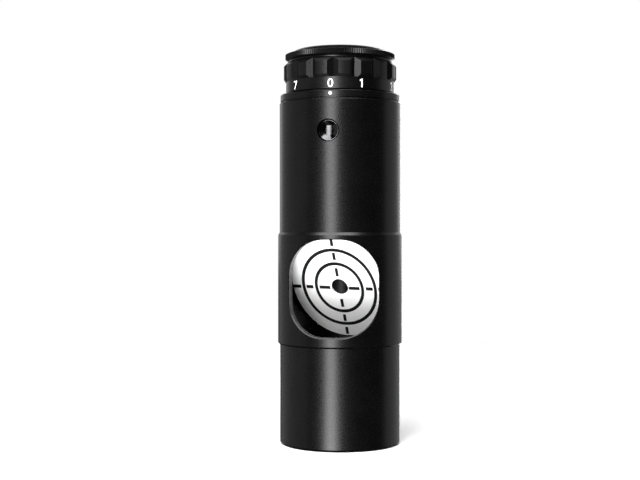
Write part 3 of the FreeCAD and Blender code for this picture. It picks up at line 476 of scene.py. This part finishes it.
def beside_camera(azimuth, distance, height):
    """A point round the object: azimuth is measured from the camera's own azimuth."""
    angle = math.radians(CAMERA_AZIMUTH + azimuth)
    return Vector((distance * math.sin(angle), -distance * math.cos(angle), height))


def look_at(item, target):
    item.rotation_euler = (target - item.location).to_track_quat("-Z", "Y").to_euler()


def add_soft_light(name, azimuth, distance, height, width, tall, glow, aim_height=0.055):
    """A soft rectangular light; glow is the brightness of its face, whatever its size."""
    lamp = bpy.data.lights.new(name, "AREA")
    lamp.shape = "RECTANGLE"
    lamp.size = width
    lamp.size_y = tall
    lamp.energy = glow * math.pi * width * tall
    lamp_object = bpy.data.objects.new(name, lamp)
    bpy.context.scene.collection.objects.link(lamp_object)
    lamp_object.location = beside_camera(azimuth, distance, height)
    look_at(lamp_object, Vector((0, 0, aim_height)))
    lamp_object.visible_camera = False


def add_camera():
    lens = bpy.data.cameras.new("camera")
    lens.lens = CAMERA_LENS_MM
    lens.sensor_width = SENSOR_WIDTH_MM
    lens.clip_start = NEAREST_SEEN
    camera = bpy.data.objects.new("camera", lens)
    bpy.context.scene.collection.objects.link(camera)
    camera.location = beside_camera(0, CAMERA_DISTANCE, CAMERA_HEIGHT)
    angle = math.radians(CAMERA_AZIMUTH)
    left = Vector((-math.cos(angle), -math.sin(angle), 0)) * AIM_LEFT
    look_at(camera, left + Vector((0, 0, AIM_HEIGHT)))
    bpy.context.scene.camera = camera


def add_floor():
    """A round sheet of white paper under the object, unseen in mirrors and blocking no light."""
    sheet = bmesh.new()
    bmesh.ops.create_circle(sheet, cap_ends=True, segments=FLOOR_SEGMENTS, radius=FLOOR_RADIUS)
    mesh_data = bpy.data.meshes.new("floor")
    sheet.to_mesh(mesh_data)
    sheet.free()
    floor = bpy.data.objects.new("floor", mesh_data)
    bpy.context.scene.collection.objects.link(floor)
    floor.visible_glossy = False
    floor.visible_shadow = False
    nodes = Nodes("floor_paper")
    nodes.set(specular=0.1)
    nodes.blend_colours(nodes.noise(scale=3.0, detail=2.0), (0.88, 0.88, 0.88), (0.91, 0.91, 0.91))
    sheen = nodes.spread(nodes.noise(scale=40.0, detail=2.0), 0.85, 0.95)
    mesh_data.materials.append(nodes.finish_with(sheen))


def add_world():
    """White behind the object for the camera, and a dim even glow for everything else."""
    world = bpy.data.worlds.new("studio")
    bpy.context.scene.world = world
    world.use_nodes = True
    tree = world.node_tree
    glow = tree.nodes["Background"]
    glow.inputs["Strength"].default_value = ROOM_GLOW
    backdrop = tree.nodes.new("ShaderNodeBackground")
    backdrop.inputs["Strength"].default_value = BACKDROP_GLOW
    for background in (glow, backdrop):
        background.inputs["Color"].default_value = STUDIO_WHITE
    chooser = tree.nodes.new("ShaderNodeMixShader")
    ray = tree.nodes.new("ShaderNodeLightPath")
    tree.links.new(ray.outputs["Is Camera Ray"], chooser.inputs["Fac"])
    tree.links.new(glow.outputs["Background"], chooser.inputs[1])
    tree.links.new(backdrop.outputs["Background"], chooser.inputs[2])
    tree.links.new(chooser.outputs["Shader"], tree.nodes["World Output"].inputs["Surface"])


def add_studio():
    add_soft_light("key_strip", azimuth=-17.0, distance=0.80, height=0.00,
                   width=0.25, tall=1.30, glow=10.4, aim_height=0.0)
    add_soft_light("left_fill", azimuth=-108.0, distance=0.80, height=0.10,
                   width=1.60, tall=1.20, glow=0.36)
    add_soft_light("right_fill", azimuth=128.0, distance=0.80, height=0.10,
                   width=1.10, tall=1.20, glow=0.42)
    add_soft_light("back_card", azimuth=180.0, distance=1.00, height=0.35,
                   width=1.60, tall=0.70, glow=0.70)
    add_soft_light("back_strip", azimuth=172.0, distance=0.80, height=0.10,
                   width=0.16, tall=0.60, glow=4.0)
    add_soft_light("top_light", azimuth=-10.0, distance=0.42, height=0.80,
                   width=0.80, tall=0.80, glow=8.5, aim_height=0.0)
    add_soft_light("under_light", azimuth=-17.0, distance=0.62, height=-0.30,
                   width=0.36, tall=0.36, glow=9.0, aim_height=0.04)


bpy.context.scene.view_settings.view_transform = "Standard"
dress_cad_nodes()
add_target_rings()
add_target_dashes()
add_dial_numbers()
add_index_dot()
add_camera()
add_floor()
add_world()
add_studio()
